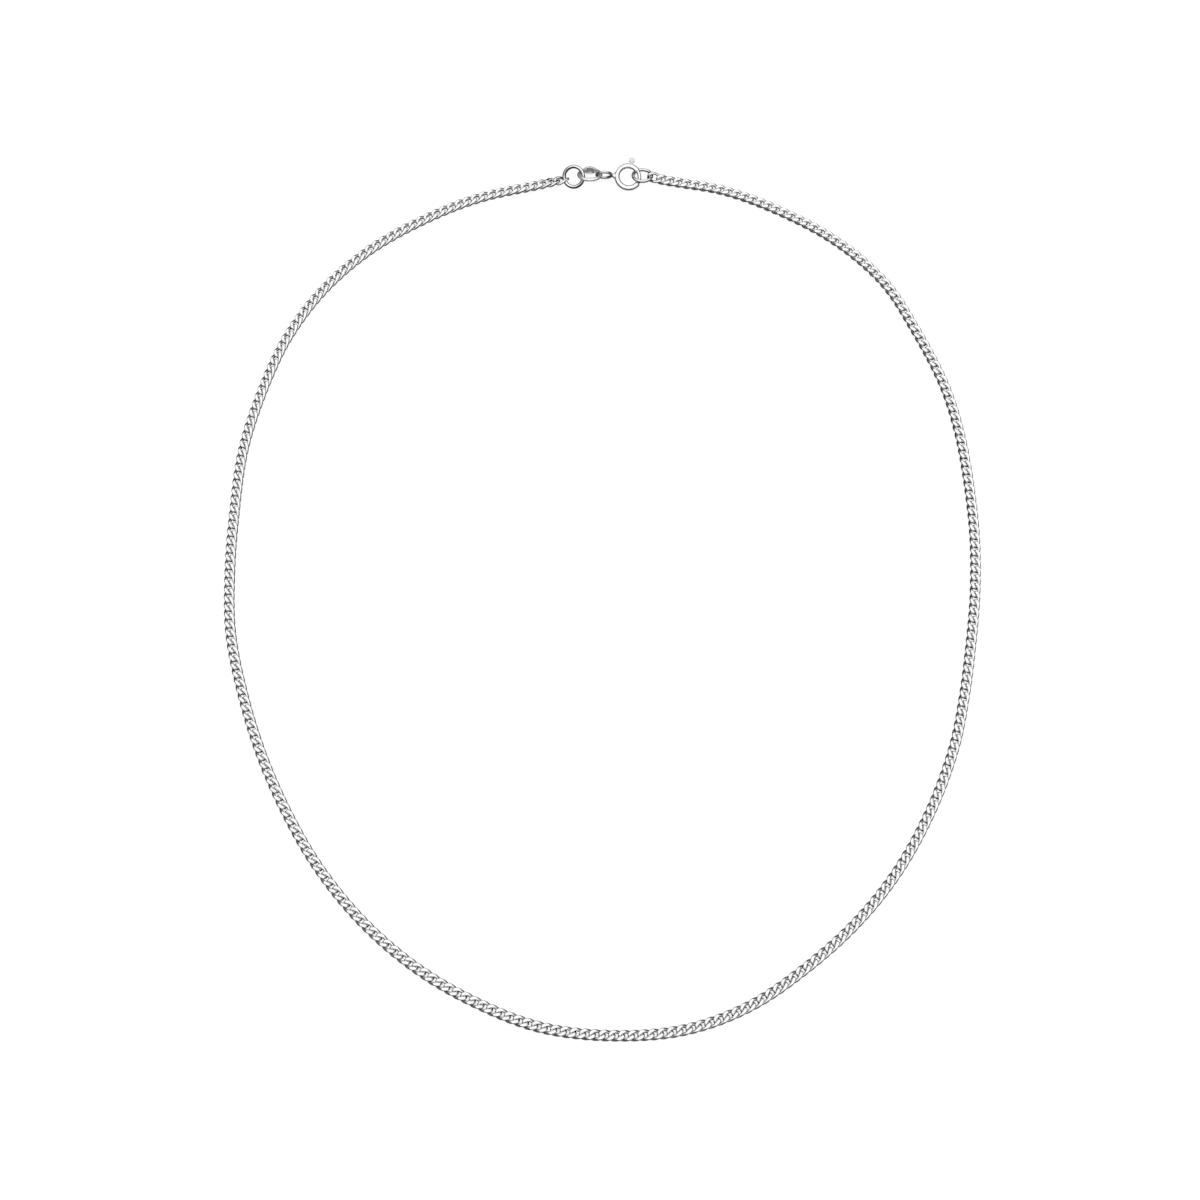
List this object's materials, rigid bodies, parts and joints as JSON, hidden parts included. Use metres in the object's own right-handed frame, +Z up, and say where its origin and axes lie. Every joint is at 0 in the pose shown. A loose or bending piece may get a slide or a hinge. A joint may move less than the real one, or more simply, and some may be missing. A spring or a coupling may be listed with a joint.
{
  "type": "curb chain necklace",
  "caption": "Fine flattened curb chain necklace in polished silver, laid in an open loop and closed by a spring ring clasp with a tag ring and jump rings.",
  "frame": {"origin": "middle of the loop, on the surface that the necklace lies on", "axes": "+Z up, +Y across the loop towards the clasp, +X across the loop towards the end ring's side"},
  "size_m": [0.141, 0.1783, 0.0037],
  "materials": {
    "chain_silver": "polished silver with diamond-flattened link faces",
    "ring_silver": "polished silver wire with fine wear",
    "clasp_silver": "polished silver tube with fine wear"
  },
  "bodies": {
    "necklace": {"chain": "chain_silver", "end_link_left": "chain_silver", "end_link_right": "chain_silver", "jump_ring": "ring_silver", "tag_ring": "ring_silver", "spring_ring": "clasp_silver", "end_ring": "ring_silver"},
    "trigger": {"trigger": "clasp_silver"}
  },
  "joints": [
    {"name": "trigger_slide", "type": "hinge", "parent": "necklace", "child": "trigger", "pos_m": [0.005, 0.0853, 0.00119], "axis": [0.1338, -0.2756, 0.9519], "range_deg": [0, 75], "stiffness_Nm_per_rad": 0.0002}
  ]
}
